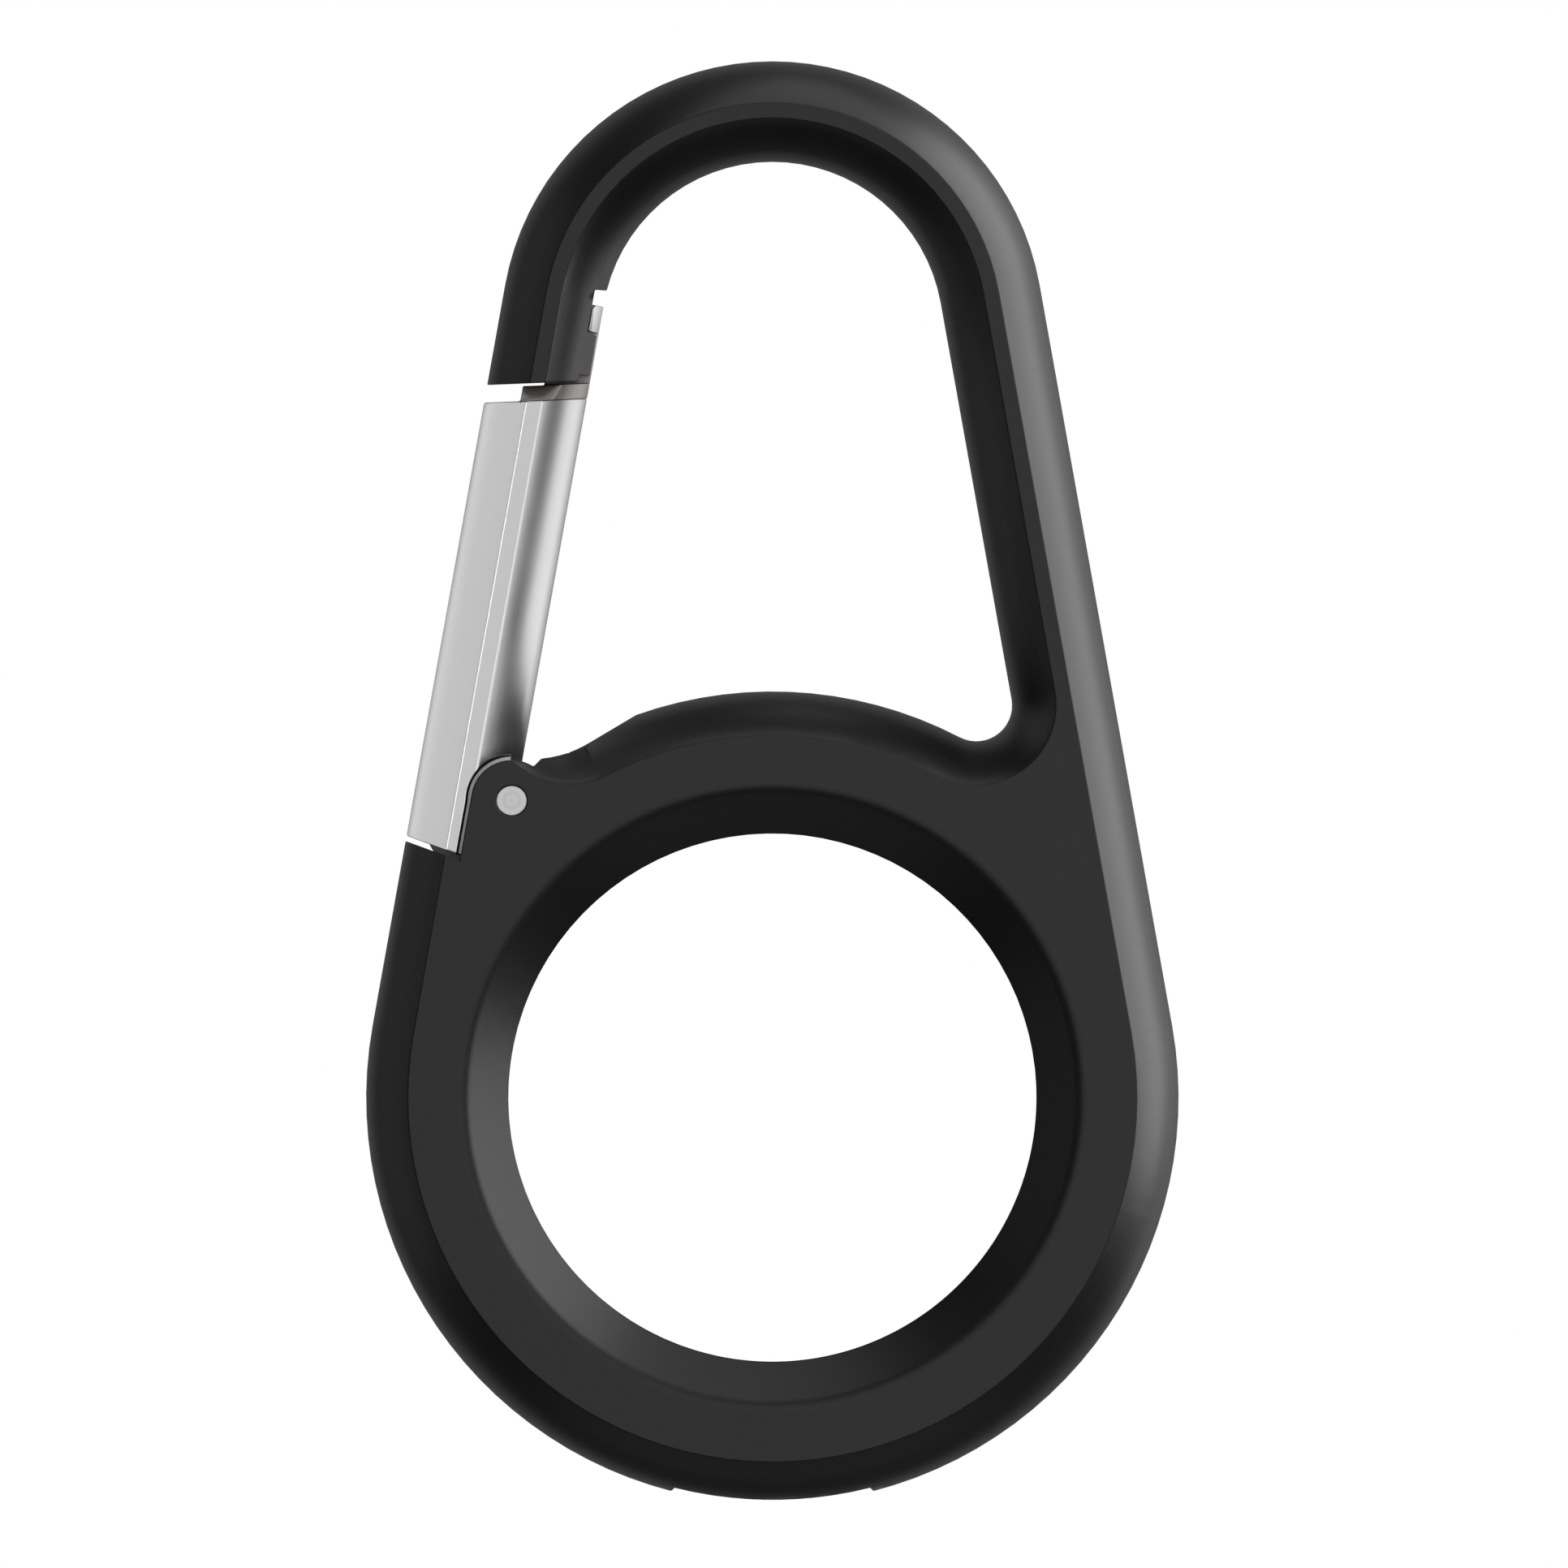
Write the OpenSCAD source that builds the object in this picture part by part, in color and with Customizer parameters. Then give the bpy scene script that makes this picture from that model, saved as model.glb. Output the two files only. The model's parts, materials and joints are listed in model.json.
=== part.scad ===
// Carabiner keyring with a round tag holder.
// The front face looks toward -Y, +Z is up and the origin is the centre of the bow.
// Flat shapes are drawn in the plane of the front face and stood upright at the end.
// On the gate's side, sizes run "across" (outward from the bow's centre) and "down" the leaning side.

/* [Body] */
// Thickness from the front face to the back face
thickness = 12; // [11:0.1:14.5]
// Outer radius of the bow
bow_r = 13.37; // [12.5:0.01:14.5]
// Outer radius of the tag holder
holder_r = 20; // [19.7:0.05:21.5]
// Distance from the bow's centre down to the holder's centre
centre_gap = 37.65; // [36.5:0.05:46]
// Width of the bow, the spine and the gate, seen from the front
bar_w = 4.96; // [4.6:0.01:5.6]
// Radius of the fillet between the spine and the holder
crotch_r = 1.76; // [1:0.01:2.6]

/* [Edges] */
// Height of the flat band round the sides
side_band = 3.2; // [2:0.1:4]
// Radius of the crowned bevels
crown_r = 7; // [6:0.1:12]
// Width of the outer bevel
outer_bevel = 2.04; // [1.2:0.01:2.1]
// Width of the inner bevel
inner_bevel = 2.16; // [1.2:0.01:2.2]

/* [Tag holder] */
// Diameter of the tag that the holder carries
tag_d = 31.9; // [30:0.1:32]
// Height of the tag
tag_h = 8; // [7:0.1:8.4]
// Gap round the tag
tag_gap = 0.1; // [0.05:0.05:0.2]
// How far each rim reaches in past the tag's edge, round the window
window_lap = 2.95; // [2.75:0.05:4.5]
// Width of the bevel round each window
window_bevel = 2.16; // [1:0.01:2.2]
// Thickness left at the edge of each window
window_land = 0.4; // [0.3:0.05:1]
// Radius that softens the outer edge of each window's bevel
window_soft = 1.2; // [0.4:0.1:1.4]
// How far each cushion ring stays inside the tag's edge
cushion_inset = 0.1; // [0.05:0.05:0.3]
// Thickness of each cushion ring, which fills a groove in its rim
cushion_h = 0.8; // [0.4:0.1:0.9]
// Width of each cushion ring
cushion_w = 1.7; // [1:0.1:1.8]

/* [Back cover] */
// How much wider the cover is than the tag pocket, all round
cover_rim = 1.15; // [0.9:0.05:1.2]
// Running gap round the cover
cover_gap = 0.05; // [0.04:0.01:0.08]
// Thickness of the grip ring's cord
grip_d = 0.8; // [0.6:0.05:0.9]
// Gap between the grip ring and the seat
grip_gap = 0.02; // [0.01:0.01:0.05]
// Length of the recess in the bottom edge
recess_w = 11.2; // [9:0.1:13]
// Depth of the recess in the bottom edge
recess_deep = 1.5; // [1:0.1:1.7]
// Height of the recess, measured through the thickness
recess_h = 5.4; // [4:0.1:6]
// Gap round the cover's lift tab
tab_gap = 0.12; // [0.08:0.01:0.3]

/* [Hinge] */
// Diameter of the hinge pin
pin_d = 1.5; // [1.2:0.05:1.8]
// Distance of the pin outward from the gate's inner edge
pin_inset = 0.165; // [0:0.005:0.4]
// Distance of the pin up the side from the holder's tangent line
pin_up = 12.132; // [11.1:0.001:13]
// Running gap round the pin in the gate
pin_gap = 0.04; // [0.02:0.01:0.08]
// How far the pin's ends sit below the two faces
pin_recess = 0.05; // [0.02:0.01:0.2]
// Radius of the round end of each ear
ear_r = 2; // [1.8:0.05:2.1]
// Thickness of each ear
ear_t = 2.15; // [1.8:0.05:2.6]
// Gap between the gate and the frame's ends
gate_gap = 0.25; // [0.15:0.01:0.35]
// Gap on each side of the gate's knuckle
knuckle_gap = 0.15; // [0.05:0.01:0.3]
// Radius of the gate's knuckle
knuckle_r = 1.8; // [1.6:0.05:1.85]
// Radius of the tail's round edge
tail_r = 4.59; // [4.2:0.01:4.65]
// Where the frame's heel starts, measured down the outer edge from the pin
heel_below = 2.87; // [2.3:0.01:4]
// Slope of the heel
heel_slope = 10; // [5:0.5:15]
// Largest opening angle of the gate
gate_open = 32; // [20:1:32]

/* [Relief beside the hinge] */
// Where the relief leaves the holder's rim, from the horizontal
relief_at = 70.4; // [69:0.1:72]
// Slope of the relief
relief_slope = 30.7; // [28:0.1:33]
// Length of the relief's straight part
relief_len = 2.74; // [2:0.01:3]
// Radius of the relief's hollow
relief_r = 5.51; // [5:0.01:6]
// Length of the notch's short side
notch_len = 0.57; // [0.4:0.01:0.7]
// Radius of the scoop that bevels the relief
scoop_r = 4.235; // [3.8:0.005:4.6]

/* [Latch] */
// Where the nose ends at the inner edge, measured down the side
nose_down = 3.915; // [3.4:0.005:4.4]
// Gap between the nose and the gate, measured down the side
nose_gap = 0.875; // [0.6:0.005:1.2]
// Slope of the nose's end and of the gate's top end
nose_slope = 12.4; // [8:0.1:15]
// Depth of the nose's latch pocket
pocket_deep = 0.56; // [0.4:0.01:0.8]
// Gap round the latch head
latch_gap = 0.055; // [0.04:0.005:0.1]
// Where the latch head's upper end is, measured down the side
head_top = 0.2; // [0:0.01:0.4]
// Length of the latch head along the side
head_len = 1.3; // [1:0.01:1.5]
// Height of the latch head, measured through the thickness
head_h = 7.4; // [5:0.1:7.4]
// Height of the latch arm and the gate's core, measured through the thickness
core_h = 3.6; // [2:0.1:3.8]
// Width of the arm inside the nose
arm_w = 2.2; // [1.5:0.05:2.6]
// Width of the arm's root above the gate's top end
root_w = 3.22; // [2.6:0.02:3.4]

/* [Gate spring] */
// Diameter of the spring wire
wire_d = 0.4; // [0.3:0.05:0.4]
// Mean radius of the coil
coil_r = 1.25; // [1.15:0.05:1.35]
// Number of turns in the coil
turns = 3; // [2:1:3]

/* [Hidden] */
$fn = 64;
over = 1;                                  // how far a cutter runs past a face
slack = 0.05;                              // how far a cutter's outline runs past a corner that it meets
joint_lap = 0.3;                           // how far a flat filling runs under a swept edge
core_lap = 0.2;                            // how far the arm and the plate run into the root between them
soft_steps = 8;                            // facets across the soft edge of a window's bevel
// Lengths along the leaning sides are kept to whole microns, so that swept stretches share their end planes
function snap(length) = round(length * 1000) / 1000;
function ray(angle) = [cos(angle), sin(angle)];

half_t = thickness / 2;
half_band = side_band / 2;
lip_t = (thickness - tag_h) / 2;
window_r = tag_d / 2 - window_lap;
inner_a = bow_r - bar_w;                   // the inner edge, across from the bow's centre
lean = asin((holder_r - bow_r) / centre_gap);
side_len = snap(centre_gap * cos(lean));
holder_at = [0, -centre_gap];

// The fillet's centre touches both the holder's rim and the spine's inner edge
crotch_across = inner_a - crotch_r + holder_r - bow_r;
crotch_reach = holder_r + crotch_r;
crotch_down = snap(side_len - sqrt(crotch_reach ^ 2 - crotch_across ^ 2));
crotch_angle = lean + acos(crotch_across / crotch_reach);

pocket_r = tag_d / 2 + tag_gap;
cover_r = pocket_r + cover_rim;
tab_root = 1.2;                            // how much narrower the tab's neck is than the recess floor
tab_neck = recess_w - 2 * recess_deep - tab_root;
tab_lap = 1.45;                            // how far the neck runs into the cover
tab_inner = -cover_r + tab_lap;

// A point on the gate's side, from its distances across and down, in the plain drawing plane
function side_point(a, d) = [a * cos(lean) + d * sin(lean), a * sin(lean) - d * cos(lean)];
pin_down = side_len - pin_up;
heel_down = pin_down + heel_below;
pin_a = inner_a + pin_inset;
pin_at = [pin_a, -pin_down];
pin_plain = side_point(pin_a, pin_down);
slot_h = thickness - 2 * ear_t;            // the gap between the ears
knuckle_h = slot_h - 2 * knuckle_gap;
tail_from = -65;                           // the tail's sector, in degrees below the pin's level
tail_to = -36;
stop_gap = 3;                              // degrees between the tail and the end of its slot
slot_to = 60;                              // the slot's upper end, past the gate's outer edge
slot_r = tail_r + 0.2;
ear_gap = gate_gap - 0.03;                 // between each ear's straight side and the sleeve
clear_len = 6;                             // how far the hinge's cuts run up the side

relief_a = holder_at + holder_r * ray(relief_at);
relief_b = relief_a + relief_len * ray(-relief_slope);
relief_c = relief_b + relief_r * ray(90 - relief_slope);
notch_at = 122.5;                          // where the notch meets the ear, round the pin
notch_slope = 134.4;                       // the direction of the notch's short side
notch_b = pin_plain + ear_r * ray(notch_at);
notch_a = notch_b + notch_len * ray(notch_slope);
scoop_at = relief_b + [0.84, 2.24];
block_lap = 0.5;                           // how far the block stands above the relief that trims it
fill_angle = 61.9;                         // where the hinge block takes over from the holder's rim

heel_drop = tan(heel_slope);
nose_drop = tan(nose_slope);
seam_down = nose_down + nose_gap;          // where the gate's top end meets its inner edge
plate_a = inner_a + 0.9;                   // the inner edge of the gate core's plate
mouth_down = 0.7;                          // the pocket's upper mouth starts this far above the side
shoulder_down = head_top + head_len + 0.1;
arm_side = 0.08;                           // gap between the arm's inner face and the nose
tooth_step = 0.03;                         // how much deeper the nose is cut under the tooth
tooth_end = nose_down - 0.2;
root_gap = 0.12;                           // gap between the nose's end and the arm's root
root_top = half_t - 0.9;                   // the root's half height where it leaves the nose
root_flare = 0.75;                         // how much the root widens or narrows toward its two ends
head_cut = [0.12, 0.15];                   // the small chamfer on the latch head's upper corner
head_fall = 0.06;                          // how much the head's lower side slopes

turn_gap = 0.05;                           // between one turn of the spring and the next
pitch = wire_d + turn_gap;
coil_low = -knuckle_h / 2 + wire_d / 2 + turn_gap;
coil_steps = 20;
wire_sides = 8;

// ---- Shared shapes ----

// The radius of a bevel's arc, from the bevel's width, kept from bulging past the flat band
function bevel_r(w) = max(crown_r, (w ^ 2 + (half_t - half_band) ^ 2) / (2 * w));

// The centre of that arc, measured inward from the edge
function crown_centre(w) =
    let (h = half_t - half_band, c = norm([w, h]), k = sqrt(bevel_r(w) ^ 2 - c ^ 2 / 4))
    [w / 2 + k * h / c, half_band + h / 2 - k * w / c];

// Stands a flat drawing upright, with its top side forward
module stand() rotate([90, 0, 0]) children();

// The gate's side, with x across and y up the side
module gate_side() mirror([1, 0, 0]) rotate([0, 0, lean]) children();

// The waste beyond one bevel, with the edge at x = 0 and the material at x > 0
module bevel_waste(w) {
    difference() {
        translate([-over, half_band - slack]) square([w + slack + over, half_t - half_band + slack + over]);
        translate(crown_centre(w)) circle(bevel_r(w));
    }
}

// A cross-section from one radius to another, with a crowned bevel where its width isn't 0
module crowned_section(from, to, inner_w, outer_w) {
    difference() {
        translate([from, -half_t]) square([to - from, thickness]);
        for (m = [0, 1]) mirror([0, m]) {
            if (inner_w > 0) translate([from, 0]) bevel_waste(inner_w);
            if (outer_w > 0) translate([to, 0]) mirror([1, 0]) bevel_waste(outer_w);
        }
    }
}

module bar_section() crowned_section(inner_a, bow_r, inner_bevel, outer_bevel);

// A length of the leaning bar, between two distances down the side
module bar_run(from, to) {
    translate([0, -from, 0]) rotate([90, 0, 0]) linear_extrude(to - from) bar_section();
}

// A flat outline through the whole thickness
module through() linear_extrude(thickness, center = true) children();

// A flat outline that cuts through both faces
module cut_through() linear_extrude(thickness + 2 * over, center = true) children();

module sector(r, from, to) {
    intersection() {
        circle(r);
        polygon([[0, 0], 2 * r * ray(from), 2 * r * ray((from + to) / 2), 2 * r * ray(to)]);
    }
}

// The rims' windows: a straight land, a bevel that opens toward the face and the soft edge between them
module window_cut() {
    bevel_h = lip_t - window_land;
    slope = atan2(bevel_h, window_bevel);
    soft_at = [window_r + window_bevel + window_soft * tan(slope / 2), half_t - window_soft];
    rotate_extrude() polygon(concat(
        [[0, half_t - lip_t - over], [window_r, half_t - lip_t - over], [window_r, half_t - bevel_h]],
        [for (i = [soft_steps : -1 : 0]) soft_at + window_soft * ray(90 + slope * i / soft_steps)],
        [[soft_at.x, half_t + over], [0, half_t + over]]));
}

// The groove that a cushion fills, from the pocket's end into the rim
module cushion_ring() {
    cushion_r = tag_d / 2 - cushion_inset;
    translate([0, 0, tag_h / 2]) difference() {
        cylinder(h = cushion_h, r = cushion_r);
        translate([0, 0, -over]) cylinder(h = cushion_h + 2 * over, r = cushion_r - cushion_w);
    }
}

// The trapezium of the recess in the bottom edge, grown or shrunk by a gap
module recess_outline(gap) {
    floor_y = -holder_r + recess_deep + gap;
    low_y = -holder_r - over;
    half = recess_w / 2 - recess_deep - gap;
    polygon([[-half, floor_y], [half, floor_y],
             [half + floor_y - low_y, low_y], [-half - floor_y + low_y, low_y]]);
}

// ---- Frame ----

// Everything to the right of the centre line
module right_half() {
    intersection() {
        children();
        translate([0, -centre_gap - holder_r - over, -half_t - over])
            cube([holder_r + over, centre_gap + holder_r + bow_r + 2 * over, thickness + 2 * over]);
    }
}

// One half of the bow, from its top to the end of its arc
module half_bow() right_half() rotate([0, 0, lean]) rotate_extrude(angle = 90) bar_section();

// Half of the rim round the holder's lower side
module half_rim() {
    right_half() rotate([0, 0, lean]) translate([bow_r - holder_r, -side_len, 0])
        mirror([0, 1, 0]) rotate_extrude(angle = 120) crowned_section(window_r, holder_r, 0, outer_bevel);
}

// The straight stretch from the bow to the holder: below the crotch only its outer edge is bevelled
module spine() {
    rotate([0, 0, lean]) {
        bar_run(0, crotch_down);
        translate([0, -crotch_down, 0]) rotate([90, 0, 0])
            linear_extrude(side_len - crotch_down)
                crowned_section(inner_a + inner_bevel + joint_lap, bow_r, 0, outer_bevel);
    }
}

module nose_bar() gate_side() bar_run(0, nose_down + bar_w * nose_drop + over);

// The stretch of the outer edge between the heel and the holder
module lower_bar() {
    gate_side() translate([0, -heel_down + over, 0]) rotate([90, 0, 0])
        linear_extrude(side_len - heel_down + over)
            crowned_section(pin_a, bow_r, 0, outer_bevel);
}

// The holder's whole ring: above its sides, the rim that faces the bow keeps this bevel
module holder_ring() {
    translate(holder_at) rotate_extrude() crowned_section(window_r, holder_r, 0, inner_bevel);
}

// The fillet where the spine meets the holder
module crotch() {
    rotate([0, 0, lean]) {
        translate([inner_a - crotch_r, -crotch_down, 0]) mirror([0, 1, 0])
            rotate_extrude(angle = 180 + lean - crotch_angle)
                crowned_section(crotch_r, crotch_r + inner_bevel + joint_lap, inner_bevel, 0);
        through() difference() {
            outer_a = inner_a + inner_bevel + 2 * joint_lap;
            holder_a = bow_r - holder_r;
            polygon([[inner_a - crotch_r, -crotch_down], [outer_a, -crotch_down], [outer_a, -side_len],
                     [holder_a + window_r, -side_len],
                     [holder_a, -side_len] + (window_r + over) * ray(crotch_angle - lean)]);
            translate([inner_a - crotch_r, -crotch_down]) circle(crotch_r + inner_bevel);
        }
    }
}

// The block that carries the ears, with the scoops that bevel its upper edge
module hinge_block() {
    mirror([1, 0, 0]) difference() {
        through() {
            polygon([holder_at + (pocket_r - over) * ray(fill_angle),
                     holder_at + (holder_r + block_lap) * ray(fill_angle),
                     notch_a + [0, block_lap], notch_b, pin_plain,
                     side_point(pin_a + ear_r, pin_down), side_point(pin_a + ear_r, side_len - over),
                     side_point(pin_a - ear_r, side_len - over)]);
            translate(pin_plain) circle(ear_r);
        }
        for (m = [0, 1]) mirror([0, 0, m]) translate(scoop_at) rotate_extrude() difference() {
            translate([0, half_band]) square([scoop_r, half_t - half_band + over]);
            crowned_section(scoop_r - inner_bevel, scoop_r + over, inner_bevel, 0);
        }
    }
}

// The hollow above the hinge block, where the open gate comes down
module relief_cut() {
    mirror([1, 0, 0]) cut_through() {
        polygon([relief_a, relief_b, notch_a, notch_b, notch_b + [joint_lap, clear_len],
                 [relief_a.x, notch_b.y + clear_len]]);
        translate(relief_c) circle(relief_r);
    }
}

// Clears the frame beside the ears, down to the heel
module heel_cut() {
    ear_a = pin_a + ear_r;
    far_a = bow_r + over;
    gate_side() cut_through()
        polygon([[ear_a, -pin_down], [ear_a, -heel_down - (bow_r - ear_a) * heel_drop],
                 [far_a, -heel_down + over * heel_drop], [far_a, -pin_down]]);
}

// The gap between the ears, for the knuckle, the tail and the gate's inner edge as it swings in
module hinge_slot() {
    swing = 90 + gate_open + stop_gap;
    foot = pin_at + (pin_inset + knuckle_gap) * ray(swing + 90);
    gate_side() linear_extrude(slot_h, center = true) {
        translate(pin_at) circle(knuckle_r + knuckle_gap);
        translate(pin_at) sector(slot_r, tail_from - stop_gap, slot_to);
        polygon([foot, pin_at, pin_at + [knuckle_r, 0], pin_at + [knuckle_r, clear_len],
                 foot + clear_len * ray(swing)]);
    }
}

// The end of the nose, the pocket for the latch head and the slot for the arm
module nose_cuts() {
    pocket_a = inner_a + pocket_deep;
    tooth_a = inner_a + arm_side;
    low = nose_down + bar_w + 2 * over;
    gate_side() {
        cut_through() {
            polygon([[inner_a - over, -nose_down + over * nose_drop],
                     [bow_r + over, -nose_down - (bar_w + over) * nose_drop],
                     [bow_r + over, -low], [inner_a - over, -low]]);
            polygon([[inner_a - over, mouth_down], [pocket_a, mouth_down - head_cut.y],
                     [pocket_a, -shoulder_down], [inner_a - over, -shoulder_down - core_lap]]);
            polygon([[inner_a - over, -head_top], [tooth_a, -head_top],
                     [tooth_a, -low], [inner_a - over, -low]]);
            polygon([[inner_a - over, -tooth_end], [pocket_a + tooth_step, -tooth_end],
                     [pocket_a + tooth_step, -low], [inner_a - over, -low]]);
        }
        translate([inner_a - over, -low, -core_h / 2 - knuckle_gap])
            cube([arm_w + over + gate_gap, low - head_top + gate_gap, core_h + 2 * knuckle_gap]);
    }
}

module frame() {
    color([0.13, 0.13, 0.13]) stand() difference() {
        union() {
            half_bow();
            mirror([1, 0, 0]) half_bow();
            half_rim();
            mirror([1, 0, 0]) half_rim();
            spine();
            nose_bar();
            lower_bar();
            holder_ring();
            crotch();
            hinge_block();
        }
        relief_cut();
        heel_cut();
        hinge_slot();
        nose_cuts();
        gate_side() translate(pin_at) cylinder(h = thickness + 2 * over, d = pin_d, center = true);
        translate(holder_at) {
            cylinder(h = tag_h, r = pocket_r, center = true);
            cushion_ring();
            window_cut();
            translate([0, 0, -half_t - over]) cylinder(h = lip_t + over, r = cover_r + cover_gap);
            translate([0, 0, -half_t - over]) linear_extrude(half_t + over + recess_h / 2) recess_outline(0);
            translate([-tab_neck / 2 - tab_gap, -holder_r + recess_deep - tab_gap, -half_t - over])
                cube([tab_neck + 2 * tab_gap, holder_r - recess_deep + tab_gap + tab_inner, lip_t + over]);
        }
    }
}

// ---- Back cover ----

module back_cover() {
    color([0.15, 0.15, 0.15]) stand() translate(holder_at) difference() {
        union() {
            translate([0, 0, -half_t]) cylinder(h = lip_t, r = cover_r);
            intersection() {
                rotate_extrude() crowned_section(cover_r - 2 * over, holder_r, 0, outer_bevel);
                union() {
                    translate([0, 0, -half_t]) linear_extrude(half_t - recess_h / 2) recess_outline(-tab_gap);
                    translate([-tab_neck / 2, -holder_r + recess_deep / 2, -half_t])
                        cube([tab_neck, holder_r - recess_deep / 2 + tab_inner, lip_t]);
                }
            }
        }
        mirror([0, 0, 1]) window_cut();
        mirror([0, 0, 1]) cushion_ring();
        translate([0, 0, -half_t + lip_t / 2]) rotate_extrude() {
            groove_h = grip_d + 2 * grip_gap;
            translate([cover_r - grip_d + cover_gap - grip_gap, -groove_h / 2])
                square([grip_d + over, groove_h]);
        }
    }
}

module grip_ring() {
    color([0.2, 0.2, 0.2]) stand() translate([0, -centre_gap, -half_t + lip_t / 2]) rotate_extrude()
        translate([cover_r + cover_gap - grip_gap - grip_d / 2, 0]) circle(d = grip_d);
}

module front_cushion() {
    color([0.25, 0.25, 0.26]) stand() translate(holder_at) cushion_ring();
}

module rear_cushion() {
    color([0.25, 0.25, 0.26]) stand() translate(holder_at) mirror([0, 0, 1]) cushion_ring();
}

// ---- Gate ----

// The band between two distances down the inner edge, both sloped like the nose's end
module sloped_band(from, to, from_a, to_a) {
    fall = [for (a = [from_a, to_a]) (a - inner_a) * nose_drop];
    polygon([[from_a, -from - fall[0]], [to_a, -from - fall[1]],
             [to_a, -to - fall[1]], [from_a, -to - fall[0]]]);
}

// The latch arm, its head and its root, before the bevels trim them
module latch_shape() {
    tooth_a = inner_a + pocket_deep - latch_gap;
    linear_extrude(core_h, center = true) translate([inner_a, core_lap - seam_down])
        square([arm_w, seam_down - core_lap - head_top]);
    linear_extrude(head_h, center = true)
        polygon([[inner_a, -head_top], [tooth_a - head_cut.x, -head_top],
                 [tooth_a, -head_top - head_cut.y], [tooth_a, -head_top - head_len],
                 [inner_a, -head_top - head_len - head_fall]]);
    intersection() {
        cut_through() sloped_band(nose_down + root_gap, seam_down, inner_a, inner_a + root_w);
        translate([inner_a, 0, 0]) rotate([90, 0, 90]) linear_extrude(root_w)
            polygon([[over - nose_down, root_flare - root_top], [over - nose_down, root_top - root_flare],
                     [-over - seam_down, root_top + root_flare],
                     [-over - seam_down, -root_top - root_flare]]);
    }
}

// The part of the core that the sleeve is cast round, with the eye and the tail
module core_shape() {
    linear_extrude(core_h, center = true) {
        sloped_band(seam_down - core_lap, pin_down - clear_len + over, plate_a, inner_a + root_w);
        polygon([[plate_a, -pin_down + clear_len], [inner_a + root_w, -pin_down + clear_len],
                 [inner_a + root_w, -pin_down - pin_d], pin_at]);
        translate(pin_at) circle(knuckle_r);
        translate(pin_at) sector(tail_r, tail_from, tail_to);
    }
}

module gate_core() {
    color([0.6, 0.59, 0.58]) stand() gate_side() difference() {
        union() {
            intersection() {
                bar_run(-over, seam_down + bar_w);
                latch_shape();
            }
            core_shape();
        }
        translate(pin_at) cylinder(h = thickness, r = pin_d / 2 + pin_gap, center = true);
    }
}

module gate_sleeve() {
    ear_a = pin_a + ear_r + ear_gap;
    end_down = heel_down - gate_gap / cos(heel_slope);
    far = 12;
    color([0.76, 0.76, 0.76]) stand() gate_side() difference() {
        union() {
            difference() {
                bar_run(seam_down, end_down + bar_w * heel_drop);
                cut_through() sloped_band(seam_down - 2 * over, seam_down, inner_a - over, bow_r + over);
                cut_through() polygon([[bow_r + over, -end_down + over * heel_drop],
                    [inner_a - over, -end_down - (bar_w + over) * heel_drop],
                    [inner_a - over, -end_down - far], [bow_r + over, -end_down - far]]);
                cut_through() polygon([pin_at, pin_at + far * ray(tail_from),
                    pin_at + far * ray((tail_from - 180) / 2), pin_at - [far, 0]]);
            }
            translate([pin_at.x, pin_at.y, core_h / 2])
                cylinder(h = knuckle_h / 2 - core_h / 2, r = knuckle_r);
        }
        for (m = [0, 1]) mirror([0, 0, m]) translate([0, 0, knuckle_h / 2]) linear_extrude(half_t) {
            translate(pin_at) circle(ear_r + gate_gap);
            polygon([[inner_a - over, -pin_down], [ear_a, -pin_down],
                     [ear_a, -pin_down - far], [inner_a - over, -pin_down - far]]);
        }
        core_shape();
        translate([pin_at.x, pin_at.y, -knuckle_h / 2 - over])
            cylinder(h = knuckle_h / 2 - core_h / 2 + over, r = knuckle_r + knuckle_gap);
        translate(pin_at) cylinder(h = thickness, r = pin_d / 2 + pin_gap, center = true);
    }
}

module hinge_pin() {
    color([0.72, 0.72, 0.72]) stand() gate_side() translate(pin_at)
        cylinder(h = thickness - 2 * pin_recess, d = pin_d, center = true);
}

// ---- Gate spring ----

// The wire's centre line: the coil from its first turn to its last
spring_path = [for (i = [0 : turns * coil_steps])
    concat(coil_r * ray(360 * i / coil_steps), coil_low + pitch * i / coil_steps)];

// A round wire along a list of points that climbs about the z axis
module wire(path) {
    last = len(path) - 1;
    function along(i) = let (d = path[min(i + 1, last)] - path[max(i - 1, 0)]) d / norm(d);
    function side(i) = let (d = along(i), s = cross(d, [0, 0, 1])) s / norm(s);
    rings = [for (i = [0 : last]) let (s = side(i), t = cross(s, along(i)))
        for (k = [0 : wire_sides - 1])
            path[i] + wire_d / 2 * (cos(360 * k / wire_sides) * s + sin(360 * k / wire_sides) * t)];
    faces = [
        [for (k = [0 : wire_sides - 1]) k],
        for (i = [0 : last - 1], k = [0 : wire_sides - 1]) let (n = (k + 1) % wire_sides, b = i * wire_sides)
            [b + k, b + wire_sides + k, b + wire_sides + n, b + n],
        [for (k = [wire_sides - 1 : -1 : 0]) last * wire_sides + k]];
    polyhedron(rings, faces);
}

module gate_spring() {
    color([0.7, 0.7, 0.7]) stand() gate_side() translate(pin_at) wire(spring_path);
}

frame();
back_cover();
grip_ring();
front_cushion();
rear_cushion();
gate_sleeve();
gate_core();
hinge_pin();
gate_spring();
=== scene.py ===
import json
import math

import bmesh
import bpy
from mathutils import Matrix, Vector, noise

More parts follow.
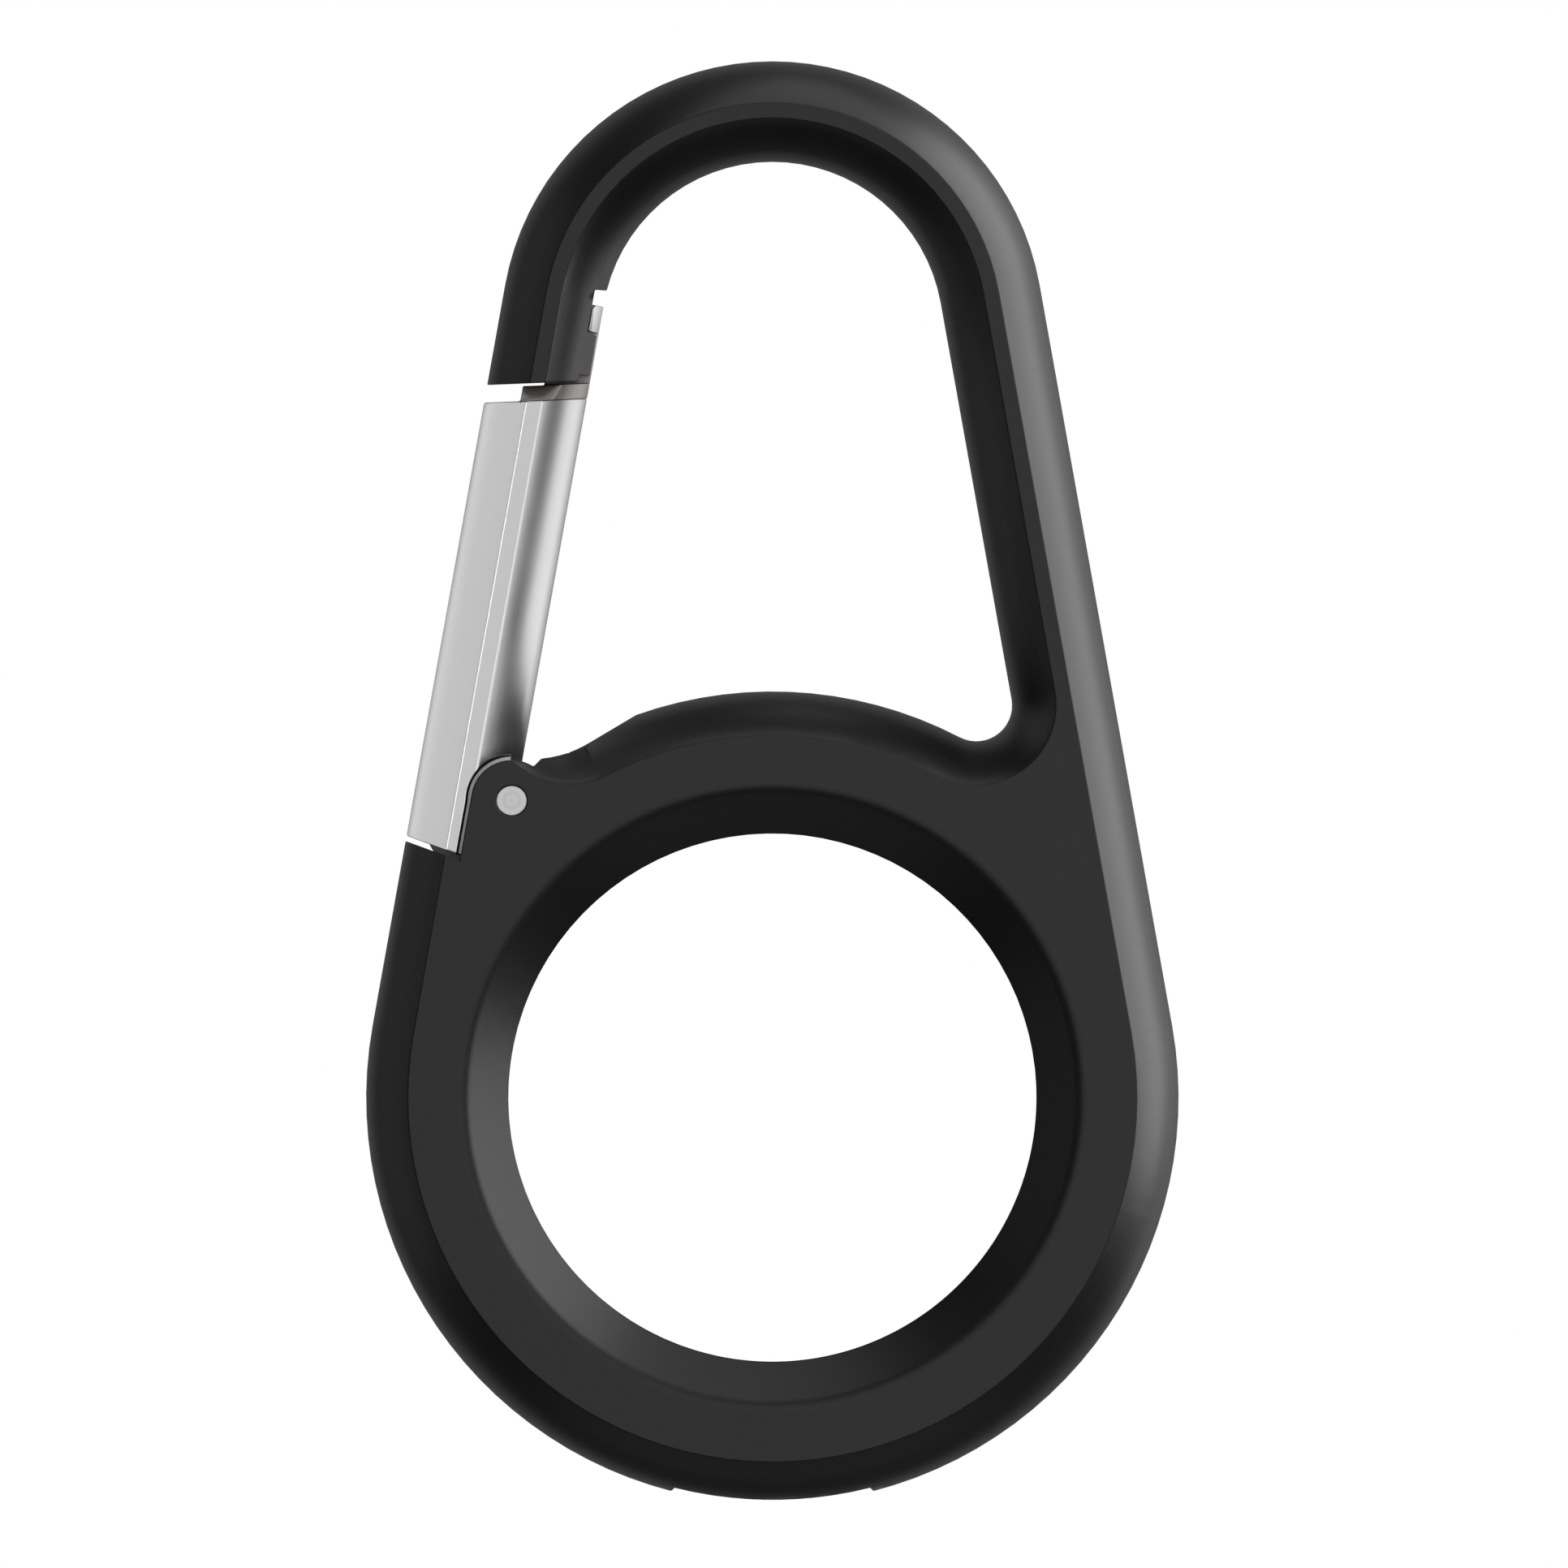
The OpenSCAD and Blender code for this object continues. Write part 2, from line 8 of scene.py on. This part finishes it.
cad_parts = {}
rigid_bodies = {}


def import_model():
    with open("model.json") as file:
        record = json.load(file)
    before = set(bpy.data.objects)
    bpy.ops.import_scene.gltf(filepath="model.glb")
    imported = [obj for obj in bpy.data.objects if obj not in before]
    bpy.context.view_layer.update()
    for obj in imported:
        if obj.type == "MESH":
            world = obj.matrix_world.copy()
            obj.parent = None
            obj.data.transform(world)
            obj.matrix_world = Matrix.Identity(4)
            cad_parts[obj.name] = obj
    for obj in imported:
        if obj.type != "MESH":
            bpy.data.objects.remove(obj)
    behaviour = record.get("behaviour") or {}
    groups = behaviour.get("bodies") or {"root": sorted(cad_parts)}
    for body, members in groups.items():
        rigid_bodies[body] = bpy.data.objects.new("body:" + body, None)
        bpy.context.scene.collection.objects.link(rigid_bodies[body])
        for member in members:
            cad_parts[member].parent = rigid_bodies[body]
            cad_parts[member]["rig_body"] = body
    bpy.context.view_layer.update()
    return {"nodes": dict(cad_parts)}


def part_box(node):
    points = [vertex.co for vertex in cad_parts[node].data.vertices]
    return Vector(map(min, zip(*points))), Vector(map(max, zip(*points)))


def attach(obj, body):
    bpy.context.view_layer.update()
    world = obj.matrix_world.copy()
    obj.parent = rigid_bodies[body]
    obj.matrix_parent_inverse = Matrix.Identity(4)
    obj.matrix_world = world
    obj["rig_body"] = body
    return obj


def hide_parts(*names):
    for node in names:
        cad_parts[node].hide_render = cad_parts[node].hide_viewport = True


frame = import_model()

mm = 0.001
pieces = {}                                   # the pieces that stand for CAD nodes, by node name


def middle(nodeName):
    low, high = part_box(nodeName)
    return Vector([(a + b) / 2 for a, b in zip(low, high)])


holderMiddle = middle("front_cushion")        # the cushions are centred on the tag holder
pinMiddle = middle("hinge_pin")
sleeveTop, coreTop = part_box("gate_sleeve")[1][2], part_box("gate_core")[1][2]


def addPiece(nodeName, bm):
    mesh = bpy.data.meshes.new(nodeName + "_finished")
    bm.to_mesh(mesh)
    bm.free()
    for face in mesh.polygons:
        face.use_smooth = True
    piece = bpy.data.objects.new(nodeName + "_finished", mesh)
    bpy.context.scene.collection.objects.link(piece)
    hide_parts(nodeName)
    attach(piece, frame["nodes"][nodeName]["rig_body"])
    pieces[nodeName] = piece
    print(nodeName, "finished with", len(mesh.polygons), "faces")
    return piece


sharpFrom = math.radians(14)                  # edges that turn more than this are broken
flatWithin = math.radians(0.3)                # faces that turn less than this are joined
weldWithin = 0.0005 * mm
bevelSteps = 3
bevelRoundness = 0.5                          # half is a circular section
largeFaceSay = 80                             # percent: how far large faces decide the shading


# Tumbling and plating break every sharp edge a little, and that thin line is what catches the light
def breakEdges(nodeName, look):
    bm = bmesh.new()
    bm.from_mesh(frame["nodes"][nodeName].data)
    bmesh.ops.remove_doubles(bm, verts=bm.verts, dist=weldWithin)
    bmesh.ops.dissolve_degenerate(bm, edges=bm.edges, dist=weldWithin)
    bmesh.ops.dissolve_limit(bm, angle_limit=flatWithin, verts=bm.verts, edges=bm.edges)
    sharp = [edge for edge in bm.edges if edge.is_manifold and edge.calc_face_angle(0) > sharpFrom]
    bmesh.ops.bevel(bm, geom=sharp, offset=look["edge"] * mm, offset_type="OFFSET",
                    segments=bevelSteps, profile=bevelRoundness, affect="EDGES", clamp_overlap=False,
                    loop_slide=True)
    weighted = addPiece(nodeName, bm).modifiers.new("even shading", "WEIGHTED_NORMAL")
    weighted.keep_sharp = True
    weighted.weight = largeFaceSay


# Joins rings of points into a closed skin, round a loop or with a cap at each end
def skin(rings, loop):
    bm = bmesh.new()
    rows = [[bm.verts.new(point) for point in ring] for ring in rings]
    count = len(rows[0])
    for i in range(len(rows) if loop else len(rows) - 1):
        near, far = rows[i], rows[(i + 1) % len(rows)]
        for k in range(count):
            bm.faces.new((near[k], near[(k + 1) % count], far[(k + 1) % count], far[k]))
    if not loop:
        bm.faces.new(rows[0])
        bm.faces.new(rows[-1])
    bmesh.ops.recalc_face_normals(bm, faces=bm.faces)
    return bm


# A die-cut foam ring: its corners are soft, its face is crowned and its cut edge wanders a little
def makeFoamRing(nodeName, look):
    low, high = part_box(nodeName)
    outer = (high[0] - low[0]) / 2
    level = (high[1] + low[1]) / 2
    halfWidth, halfHeight = look["width"] / 2 * mm, (high[1] - low[1]) / 2
    rings = []
    for i in range(look["steps"]):
        turn = 2 * math.pi * i / look["steps"]
        away = Vector((math.cos(turn), 0, math.sin(turn)))
        drift = (noise.noise(away * look["waves"]) + 1) / 2 * look["wander"] * mm
        ring = []
        for k in range(look["sides"]):
            bend = 2 * math.pi * k / look["sides"]
            x, y = [math.copysign(abs(v) ** (2 / look["squareness"]), v)
                    for v in (math.cos(bend), math.sin(bend))]
            radius = outer - halfWidth + (halfWidth - drift) * x
            ring.append(Vector((holderMiddle.x, level + halfHeight * y, holderMiddle.z)) + away * radius)
        rings.append(ring)
    addPiece(nodeName, skin(rings, loop=True))


# A close-wound coil round the pin, with cut ends
def makeSpring(nodeName, look):
    low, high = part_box(nodeName)
    wire = look["wire"] / 2 * mm
    radius = (high[0] - low[0]) / 2 - wire
    start, end = low[1] + wire, high[1] - wire
    count = look["turns"] * look["steps"]
    rings = []
    for i in range(count + 1):
        turn = 2 * math.pi * i / look["steps"]
        away = Vector((math.cos(turn), 0, math.sin(turn)))
        centre = Vector((pinMiddle.x, start + (end - start) * i / count, pinMiddle.z)) + away * radius
        along = Vector((0, 1, 0))
        rings.append([centre + wire * (math.cos(bend) * away + math.sin(bend) * along)
                      for bend in [2 * math.pi * k / look["sides"] for k in range(look["sides"])]])
    addPiece(nodeName, skin(rings, loop=False))


# From a hex colour to linear light by the sRGB curve
def toLinear(hexColour):
    parts = [int(hexColour[i:i + 2], 16) / 255 for i in (1, 3, 5)]
    return [c / 12.92 if c <= 0.04045 else ((c + 0.055) / 1.055) ** 2.4 for c in parts] + [1]


def addNode(tree, kind, settings=None, links=None):
    node = tree.nodes.new(kind)
    for name, value in (settings or {}).items():
        if isinstance(name, int) or name in node.inputs:
            node.inputs[name].default_value = value
        else:
            setattr(node, name, value)
    for name, source in (links or {}).items():
        tree.links.new(source, node.inputs[name])
    return node


def startMaterial(name):
    material = bpy.data.materials.new(name)
    material.use_nodes = True
    material.node_tree.nodes.clear()
    return material, material.node_tree


def dress(nodeName, material):
    mesh = pieces.get(nodeName, frame["nodes"][nodeName]).data
    mesh.materials.clear()
    mesh.materials.append(material)


coatRelief = 0.012 * mm                       # how far each finish stands up or sinks in
metalRelief = 0.01 * mm
foamRelief = 0.05 * mm
coatGlossDown, coatGlossUp = 0.04, 0.05       # how far roughness strays from its mean
metalGlossSpread = 0.05
wavePhase = 20                                # the wave texture turns this many radians per unit of scale


# Powder coat on die-cast zinc: a cured black film with a fine pebble, so light spreads wide and goes grey
def powderCoatBlack(name, look):
    material, tree = startMaterial(name)
    place = addNode(tree, "ShaderNodeTexCoord").outputs["Object"]
    pebble = addNode(tree, "ShaderNodeTexNoise",
                     {"Scale": 1 / (look["pebble"] * mm), "Detail": 3, "Roughness": 0.6}, {"Vector": place})
    drift = addNode(tree, "ShaderNodeTexNoise", {"Scale": 1 / (look["drift"] * mm), "Detail": 2},
                    {"Vector": place})
    film = addNode(tree, "ShaderNodeMix",
                   {"data_type": "RGBA", 6: toLinear(look["dark"]), 7: toLinear(look["light"])},
                   {0: drift.outputs["Fac"]})
    gloss = addNode(tree, "ShaderNodeMapRange",
                    {"To Min": look["roughness"] - coatGlossDown, "To Max": look["roughness"] + coatGlossUp},
                    {"Value": pebble.outputs["Fac"]})
    bump = addNode(tree, "ShaderNodeBump", {"Strength": look["bump"], "Distance": coatRelief},
                   {"Height": pebble.outputs["Fac"]})
    surface = addNode(tree, "ShaderNodeBsdfPrincipled", {"IOR": 1.5},
                      {"Base Color": film.outputs[2], "Roughness": gloss.outputs["Result"],
                       "Normal": bump.outputs["Normal"]})
    addNode(tree, "ShaderNodeOutputMaterial", links={"Surface": surface.outputs["BSDF"]})
    return material


# Blasted and plated, or drawn: a fine even grain breaks every highlight into satin
def satinMetal(name, look):
    material, tree = startMaterial(name)
    place = addNode(tree, "ShaderNodeTexCoord").outputs["Object"]
    grain = addNode(tree, "ShaderNodeTexNoise",
                    {"Scale": 1 / (look["grain"] * mm), "Detail": 2, "Roughness": 0.55}, {"Vector": place})
    drift = addNode(tree, "ShaderNodeTexNoise", {"Scale": 1 / (look["drift"] * mm), "Detail": 3},
                    {"Vector": place})
    colour = addNode(tree, "ShaderNodeMix",
                     {"data_type": "RGBA", 6: toLinear(look["dark"]), 7: toLinear(look["light"])},
                     {0: drift.outputs["Fac"]})
    gloss = addNode(tree, "ShaderNodeMapRange",
                    {"To Min": look["roughness"] - metalGlossSpread,
                     "To Max": look["roughness"] + metalGlossSpread},
                    {"Value": drift.outputs["Fac"]})
    bump = addNode(tree, "ShaderNodeBump", {"Strength": look["bump"], "Distance": metalRelief},
                   {"Height": grain.outputs["Fac"]})
    surface = addNode(tree, "ShaderNodeBsdfPrincipled", {"Metallic": 1},
                      {"Base Color": colour.outputs[2], "Roughness": gloss.outputs["Result"],
                       "Normal": bump.outputs["Normal"]})
    addNode(tree, "ShaderNodeOutputMaterial", links={"Surface": surface.outputs["BSDF"]})
    return material


# Sintered steel: tiny pores darken it, and the latch head is painted brighter, a painted highlight that grows
# from just above the sleeve's top to the core's top
def sinteredSteel(name, look):
    material, tree = startMaterial(name)
    place = addNode(tree, "ShaderNodeTexCoord").outputs["Object"]
    pores = addNode(tree, "ShaderNodeTexNoise",
                    {"Scale": 1 / (look["pore"] * mm), "Detail": 3, "Roughness": 0.65}, {"Vector": place})
    bare = addNode(tree, "ShaderNodeMix",
                   {"data_type": "RGBA", 6: toLinear(look["dark"]), 7: toLinear(look["light"])},
                   {0: pores.outputs["Fac"]})
    height = addNode(tree, "ShaderNodeSeparateXYZ", links={"Vector": place}).outputs["Z"]
    # painted highlight: from just above the sleeve's top up to the core's top, the colour fades to the pale
    # highlight colour
    paintedHighlightMask = addNode(tree, "ShaderNodeMapRange",
                  {"From Min": sleeveTop + look["paintedHighlightFrom"] * mm, "From Max": coreTop}, {"Value": height})
    colour = addNode(tree, "ShaderNodeMix", {"data_type": "RGBA", 7: toLinear(look["paintedHighlight"])},
                     {0: paintedHighlightMask.outputs["Result"], 6: bare.outputs[2]})
    bump = addNode(tree, "ShaderNodeBump", {"Strength": look["bump"], "Distance": metalRelief},
                   {"Height": pores.outputs["Fac"]})
    surface = addNode(tree, "ShaderNodeBsdfPrincipled", {"Metallic": 1, "Roughness": look["roughness"]},
                      {"Base Color": colour.outputs[2], "Normal": bump.outputs["Normal"]})
    addNode(tree, "ShaderNodeOutputMaterial", links={"Surface": surface.outputs["BSDF"]})
    return material


# Turned steel: the lathe's rings on the pin's ends catch the light in circles, 2 pi times ringRadian apart
def turnedSteel(name, look):
    material, tree = startMaterial(name)
    place = addNode(tree, "ShaderNodeTexCoord").outputs["Object"]
    centred = addNode(tree, "ShaderNodeMapping", {"Location": (-pinMiddle.x, 0, -pinMiddle.z)},
                      {"Vector": place})
    rings = addNode(tree, "ShaderNodeTexWave",
                    {"wave_type": "RINGS", "rings_direction": "Y",
                     "Scale": 1 / (look["ringRadian"] * mm * wavePhase), "Distortion": 0.4, "Detail": 1},
                    {"Vector": centred.outputs["Vector"]})
    colour = addNode(tree, "ShaderNodeMix",
                     {"data_type": "RGBA", 6: toLinear(look["dark"]), 7: toLinear(look["light"])},
                     {0: rings.outputs["Fac"]})
    bump = addNode(tree, "ShaderNodeBump", {"Strength": look["bump"], "Distance": metalRelief},
                   {"Height": rings.outputs["Fac"]})
    surface = addNode(tree, "ShaderNodeBsdfPrincipled", {"Metallic": 1, "Roughness": look["roughness"]},
                      {"Base Color": colour.outputs[2], "Normal": bump.outputs["Normal"]})
    addNode(tree, "ShaderNodeOutputMaterial", links={"Surface": surface.outputs["BSDF"]})
    return material


# Closed-cell foam has round pores that scatter light, so it looks dry; moulded silicone has flatter ones
def cellFoam(name, look):
    material, tree = startMaterial(name)
    place = addNode(tree, "ShaderNodeTexCoord").outputs["Object"]
    pores = addNode(tree, "ShaderNodeTexVoronoi", {"Scale": 1 / (look["pore"] * mm)}, {"Vector": place})
    colour = addNode(tree, "ShaderNodeMix",
                     {"data_type": "RGBA", 6: toLinear(look["dark"]), 7: toLinear(look["light"])},
                     {0: pores.outputs["Distance"]})
    bump = addNode(tree, "ShaderNodeBump", {"Strength": look["bump"], "Distance": foamRelief},
                   {"Height": pores.outputs["Distance"]})
    surface = addNode(tree, "ShaderNodeBsdfPrincipled", {"Roughness": look["roughness"], "IOR": 1.45},
                      {"Base Color": colour.outputs[2], "Normal": bump.outputs["Normal"]})
    addNode(tree, "ShaderNodeOutputMaterial", links={"Surface": surface.outputs["BSDF"]})
    return material


# In each piece's dictionary, edge, width, wander, wire and the pattern sizes are in millimetres. The bare
# metals' grain, pores and rings are coarser than real ones, so that a picture of the whole object holds them.

frameLook = {"edge": 0.07, "dark": "#161617", "light": "#1a1a1b", "roughness": 0.37, "pebble": 0.12,
             "drift": 6, "bump": 0.35}
breakEdges("frame", frameLook)
dress("frame", powderCoatBlack("frame black powder coat on zinc", frameLook))

coverLook = {"edge": 0.07, "dark": "#161617", "light": "#1b1b1c", "roughness": 0.39, "pebble": 0.12,
             "drift": 5, "bump": 0.35}
breakEdges("back_cover", coverLook)
dress("back_cover", powderCoatBlack("cover black powder coat on zinc", coverLook))

sleeveLook = {"edge": 0.1, "dark": "#d6d6d5", "light": "#dcdcdb", "roughness": 0.33, "grain": 0.08,
              "drift": 5, "bump": 0.25}
breakEdges("gate_sleeve", sleeveLook)
dress("gate_sleeve", satinMetal("sleeve satin nickel plate", sleeveLook))

# the core's pale head colour is a painted highlight on the latch head
coreLook = {"edge": 0.05, "dark": "#96918e", "light": "#a7a29f", "paintedHighlight": "#f2f2f1", "paintedHighlightFrom": 1.2,
            "roughness": 0.4, "pore": 0.1, "bump": 0.2}
breakEdges("gate_core", coreLook)
dress("gate_core", sinteredSteel("core sintered steel", coreLook))

pinLook = {"edge": 0.05, "dark": "#cdcdcc", "light": "#d8d8d7", "roughness": 0.34, "ringRadian": 0.06,
           "bump": 0.3}
breakEdges("hinge_pin", pinLook)
dress("hinge_pin", turnedSteel("pin turned steel", pinLook))

springLook = {"wire": 0.4, "turns": 3, "steps": 48, "sides": 16, "dark": "#8f8f8e", "light": "#a8a8a6",
              "roughness": 0.3, "grain": 0.05, "drift": 0.6, "bump": 0.3}
makeSpring("gate_spring", springLook)
dress("gate_spring", satinMetal("spring drawn steel wire", springLook))

foamLook = {"width": 1.7, "wander": 0.05, "waves": 9, "squareness": 5, "steps": 240, "sides": 28,
            "dark": "#232324", "light": "#2e2e2f", "roughness": 0.92, "pore": 0.22, "bump": 0.6}
for ringName in ("front_cushion", "rear_cushion"):
    makeFoamRing(ringName, foamLook)
    dress(ringName, cellFoam(ringName.replace("_", " ") + " closed-cell foam", foamLook))

cordLook = {"dark": "#171717", "light": "#202020", "roughness": 0.6, "pore": 0.3, "bump": 0.15}
dress("grip_ring", cellFoam("grip ring moulded silicone", cordLook))
print("finishes done")


# The floor's drop, size, stipple and relief are in millimetres
stageLook = {"floorDrop": 75, "floorSize": 6000, "stipple": 1.5, "relief": 0.05, "bump": 0.05,
             "roughness": 0.8, "colour": "#e9e9e8"}


def makeFloor():
    half, low = stageLook["floorSize"] / 2 * mm, -stageLook["floorDrop"] * mm
    mesh = bpy.data.meshes.new("floor")
    mesh.from_pydata([(-half, -half, low), (half, -half, low), (half, half, low), (-half, half, low)], [],
                     [(0, 1, 2, 3)])
    floor = bpy.data.objects.new("floor", mesh)
    bpy.context.scene.collection.objects.link(floor)
    # matt emulsion on board: a faint roller stipple and no shine
    material, tree = startMaterial("floor matt emulsion")
    place = addNode(tree, "ShaderNodeTexCoord").outputs["Object"]
    stipple = addNode(tree, "ShaderNodeTexNoise", {"Scale": 1 / (stageLook["stipple"] * mm), "Detail": 2},
                      {"Vector": place})
    bump = addNode(tree, "ShaderNodeBump",
                   {"Strength": stageLook["bump"], "Distance": stageLook["relief"] * mm},
                   {"Height": stipple.outputs["Fac"]})
    surface = addNode(tree, "ShaderNodeBsdfPrincipled",
                      {"Base Color": toLinear(stageLook["colour"]), "Roughness": stageLook["roughness"]},
                      {"Normal": bump.outputs["Normal"]})
    addNode(tree, "ShaderNodeOutputMaterial", links={"Surface": surface.outputs["BSDF"]})
    mesh.materials.append(material)
    # hidden from bounced light and from reflections, so that the object's underside stays dark
    floor.visible_diffuse = False
    floor.visible_glossy = False


# Places and sizes are in millimetres, and bright is how bright each panel looks.
# A panel lights "all", the "coat" (everything but the bare metal) or the bare "metal" alone.
lightPanels = {
    "right softbox": {"at": (420, 0, 130), "size": (640, 620), "bright": 3.2, "lights": "coat"},
    "top softbox": {"at": (60, -40, 420), "size": (520, 420), "bright": 0.9, "lights": "all"},
    "front fill": {"at": (40, -620, 60), "size": (700, 700), "bright": 0.8, "lights": "all"},
    "left fill": {"at": (-520, 40, 0), "size": (620, 620), "bright": 0.24, "lights": "coat"},
    "card below": {"at": (0, -60, -520), "size": (700, 600), "bright": 0.18, "lights": "all"},
    "wall behind": {"at": (0, 520, 0), "size": (900, 900), "bright": 0.2, "lights": "all"},
    "right wall behind": {"at": (420, 330, 60), "size": (420, 620), "bright": 0.45, "lights": "coat"},
    "left card": {"at": (-420, 160, -10), "size": (860, 700), "bright": 0.74, "lights": "metal"},
    "right card": {"at": (440, 60, -10), "size": (1100, 700), "bright": 1.1, "lights": "metal"},
    "left strip": {"at": (-380, -420, 0), "size": (150, 600), "bright": 3.0, "lights": "metal"},
    "right strip": {"at": (380, -420, 0), "size": (110, 600), "bright": 1.6, "lights": "metal"},
}
bareMetal = ["gate_sleeve", "gate_core", "hinge_pin"]
aimAt = Vector((0, 0, -22)) * mm


def makeLights():
    # cards for the bare metal are flagged off the black coat, and the bright softbox off the metal
    groups = {"coat": bpy.data.collections.new("bare metal kept dark"),
              "metal": bpy.data.collections.new("bare metal lit")}
    for nodeName in bareMetal:
        for group in groups.values():
            group.objects.link(pieces[nodeName])
    for entry in groups["coat"].collection_objects:
        entry.light_linking.link_state = "EXCLUDE"
    for name, panel in lightPanels.items():
        light = bpy.data.lights.new(name, "AREA")
        light.shape = "RECTANGLE"
        light.size, light.size_y = panel["size"][0] * mm, panel["size"][1] * mm
        light.energy = panel["bright"] * math.pi * light.size * light.size_y
        lamp = bpy.data.objects.new(name, light)
        lamp.location = Vector(panel["at"]) * mm
        lamp.rotation_euler = (lamp.location - aimAt).to_track_quat("Z", "Y").to_euler()
        lamp.visible_camera = False
        if panel["lights"] in groups:
            lamp.light_linking.receiver_collection = groups[panel["lights"]]
        bpy.context.scene.collection.objects.link(lamp)


# The room looks white, and gives only a little cool light
roomLook = {"colour": (0.9, 0.95, 1, 1), "bright": 0.06}


def makeWorld():
    world = bpy.data.worlds.new("white studio")
    world.use_nodes = True
    tree = world.node_tree
    tree.nodes.clear()
    seen = addNode(tree, "ShaderNodeBackground", {"Color": (1, 1, 1, 1), "Strength": 1})
    room = addNode(tree, "ShaderNodeBackground",
                   {"Color": roomLook["colour"], "Strength": roomLook["bright"]})
    path = addNode(tree, "ShaderNodeLightPath")
    mixed = addNode(tree, "ShaderNodeMixShader", links={0: path.outputs["Is Camera Ray"], 1: room.outputs[0],
                                                        2: seen.outputs[0]})
    addNode(tree, "ShaderNodeOutputWorld", links={"Surface": mixed.outputs[0]})
    bpy.context.scene.world = world


# Millimetres, with near and far for the nearest and farthest that is seen
cameraLook = {"width": 77.19, "centre": (0.573, -22.21), "distance": 400, "near": 10, "far": 20000}


def makeCamera():
    data = bpy.data.cameras.new("camera")
    data.type = "ORTHO"
    data.ortho_scale = cameraLook["width"] * mm
    data.clip_start, data.clip_end = cameraLook["near"] * mm, cameraLook["far"] * mm
    camera = bpy.data.objects.new("camera", data)
    centreX, centreZ = cameraLook["centre"]
    camera.location = Vector((centreX, -cameraLook["distance"], centreZ)) * mm
    camera.rotation_euler = (math.pi / 2, 0, 0)
    bpy.context.scene.collection.objects.link(camera)
    bpy.context.scene.camera = camera
    bpy.context.scene.view_settings.view_transform = "Standard"


makeFloor()
makeLights()
makeWorld()
makeCamera()
print("stage, lights and camera done")
